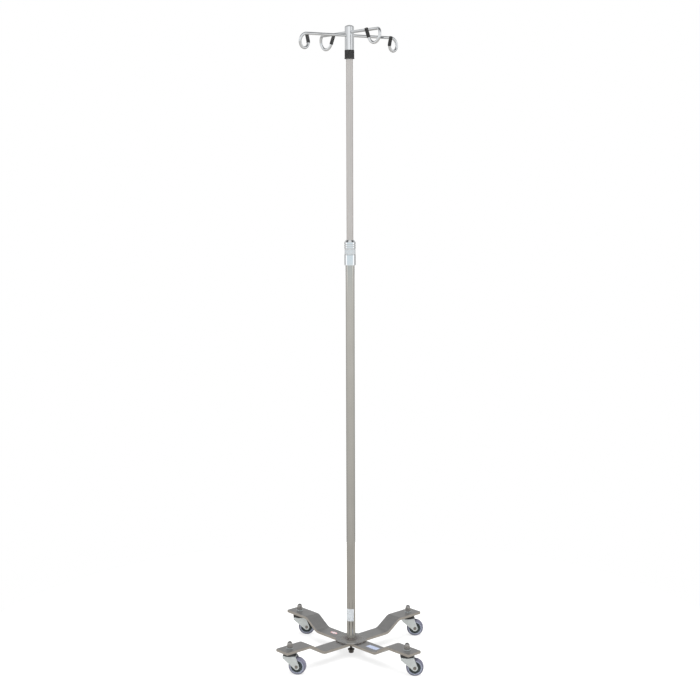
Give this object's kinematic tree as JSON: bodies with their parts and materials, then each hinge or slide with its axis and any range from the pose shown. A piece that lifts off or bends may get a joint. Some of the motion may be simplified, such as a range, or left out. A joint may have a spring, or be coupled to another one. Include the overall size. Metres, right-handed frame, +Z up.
{
  "type": "iv drip stand",
  "caption": "Wheeled hospital drip stand with cranked flat-bar legs, a height-adjustable pole with a slide lock, and pigtail bag hooks.",
  "frame": {"origin": "on the floor under the pole's axis", "axes": "+Z up along the pole; +X to the right and -Y to the front, with the legs on the diagonals between them"},
  "size_m": [0.4201, 0.4118, 1.828],
  "materials": {
    "bright_chrome": "polished",
    "satin_chrome": "satin",
    "brushed_steel": "brushed along the bar",
    "zinc_plate": "zinc plated, pale and bluish",
    "dark_steel": "dark oxide",
    "black_plastic": "matte",
    "black_vinyl": "soft satin",
    "white_nylon": "matte",
    "dark_core": "matte",
    "grey_tread": "smooth grey with a violet cast"
  },
  "bodies": {
    "base": {"hub_plate": "brushed_steel", "hub_bolt": "dark_steel", "hub_washer": "dark_steel", "lower_tube": "satin_chrome", "guide_bush": "white_nylon", "lock_body": "bright_chrome", "leg_front_left": "brushed_steel", "leg_washer_front_left": "zinc_plate", "cap_nut_front_left": "bright_chrome", "caster_stem_front_left": "zinc_plate", "dust_ring_front_left": "black_plastic", "leg_front_right": "brushed_steel", "leg_washer_front_right": "zinc_plate", "cap_nut_front_right": "bright_chrome", "caster_stem_front_right": "zinc_plate", "dust_ring_front_right": "black_plastic", "leg_rear_left": "brushed_steel", "leg_washer_rear_left": "zinc_plate", "cap_nut_rear_left": "bright_chrome", "caster_stem_rear_left": "zinc_plate", "dust_ring_rear_left": "black_plastic", "leg_rear_right": "brushed_steel", "leg_washer_rear_right": "zinc_plate", "cap_nut_rear_right": "bright_chrome", "caster_stem_rear_right": "zinc_plate", "dust_ring_rear_right": "black_plastic"},
    "lock_sleeve": {"lock_sleeve": "bright_chrome"},
    "mast_foot": {"tube_foot": "white_nylon"},
    "mast": {"upper_tube": "satin_chrome", "neck_bushing": "black_plastic", "head_tube": "bright_chrome", "head_cap": "bright_chrome", "hook_rod_lower": "bright_chrome", "hook_rod_upper": "bright_chrome", "hook_tip_right": "black_vinyl", "hook_tip_left": "black_vinyl", "hook_tip_rear": "black_vinyl", "hook_tip_front": "black_vinyl"},
    "caster_front_left": {"caster_fork_front_left": "zinc_plate", "wheel_axle_front_left": "zinc_plate"},
    "wheel_front_left": {"wheel_core_front_left": "dark_core", "wheel_tread_front_left": "grey_tread"},
    "caster_front_right": {"caster_fork_front_right": "zinc_plate", "wheel_axle_front_right": "zinc_plate"},
    "wheel_front_right": {"wheel_core_front_right": "dark_core", "wheel_tread_front_right": "grey_tread"},
    "caster_rear_left": {"caster_fork_rear_left": "zinc_plate", "wheel_axle_rear_left": "zinc_plate"},
    "wheel_rear_left": {"wheel_core_rear_left": "dark_core", "wheel_tread_rear_left": "grey_tread"},
    "caster_rear_right": {"caster_fork_rear_right": "zinc_plate", "wheel_axle_rear_right": "zinc_plate"},
    "wheel_rear_right": {"wheel_core_rear_right": "dark_core", "wheel_tread_rear_right": "grey_tread"}
  },
  "joints": [
    {"name": "mast_height", "type": "slide", "parent": "base", "child": "mast_foot", "axis": [0, 0, 1], "range_m": [-0.5, 0.4]},
    {"name": "mast_turn", "type": "hinge", "parent": "mast_foot", "child": "mast", "pos_m": [0, 0, 0.685], "axis": [0, 0, 1], "continuous": true},
    {"name": "lock_lift", "type": "slide", "parent": "base", "child": "lock_sleeve", "axis": [0, 0, 1], "range_m": [0, 0.006], "stiffness_N_per_m": 600, "springref_m": -0.005},
    {"name": "caster_swivel_front_left", "type": "hinge", "parent": "base", "child": "caster_front_left", "pos_m": [-0.16723, -0.16723, 0.058], "axis": [0, 0, 1], "continuous": true},
    {"name": "wheel_spin_front_left", "type": "hinge", "parent": "caster_front_left", "child": "wheel_front_left", "pos_m": [-0.14556, -0.17105, 0.025], "axis": [0.1736, 0.9848, 0], "continuous": true},
    {"name": "caster_swivel_front_right", "type": "hinge", "parent": "base", "child": "caster_front_right", "pos_m": [0.16723, -0.16723, 0.058], "axis": [0, 0, 1], "continuous": true},
    {"name": "wheel_spin_front_right", "type": "hinge", "parent": "caster_front_right", "child": "wheel_front_right", "pos_m": [0.18923, -0.16723, 0.025], "axis": [0, 1, 0], "continuous": true},
    {"name": "caster_swivel_rear_left", "type": "hinge", "parent": "base", "child": "caster_rear_left", "pos_m": [-0.16723, 0.16723, 0.058], "axis": [0, 0, 1], "continuous": true},
    {"name": "wheel_spin_rear_left", "type": "hinge", "parent": "caster_rear_left", "child": "wheel_rear_left", "pos_m": [-0.14523, 0.16723, 0.025], "axis": [0, 1, 0], "continuous": true},
    {"name": "caster_swivel_rear_right", "type": "hinge", "parent": "base", "child": "caster_rear_right", "pos_m": [0.16723, 0.16723, 0.058], "axis": [0, 0, 1], "continuous": true},
    {"name": "wheel_spin_rear_right", "type": "hinge", "parent": "caster_rear_right", "child": "wheel_rear_right", "pos_m": [0.18923, 0.16723, 0.025], "axis": [0, 1, 0], "continuous": true}
  ]
}
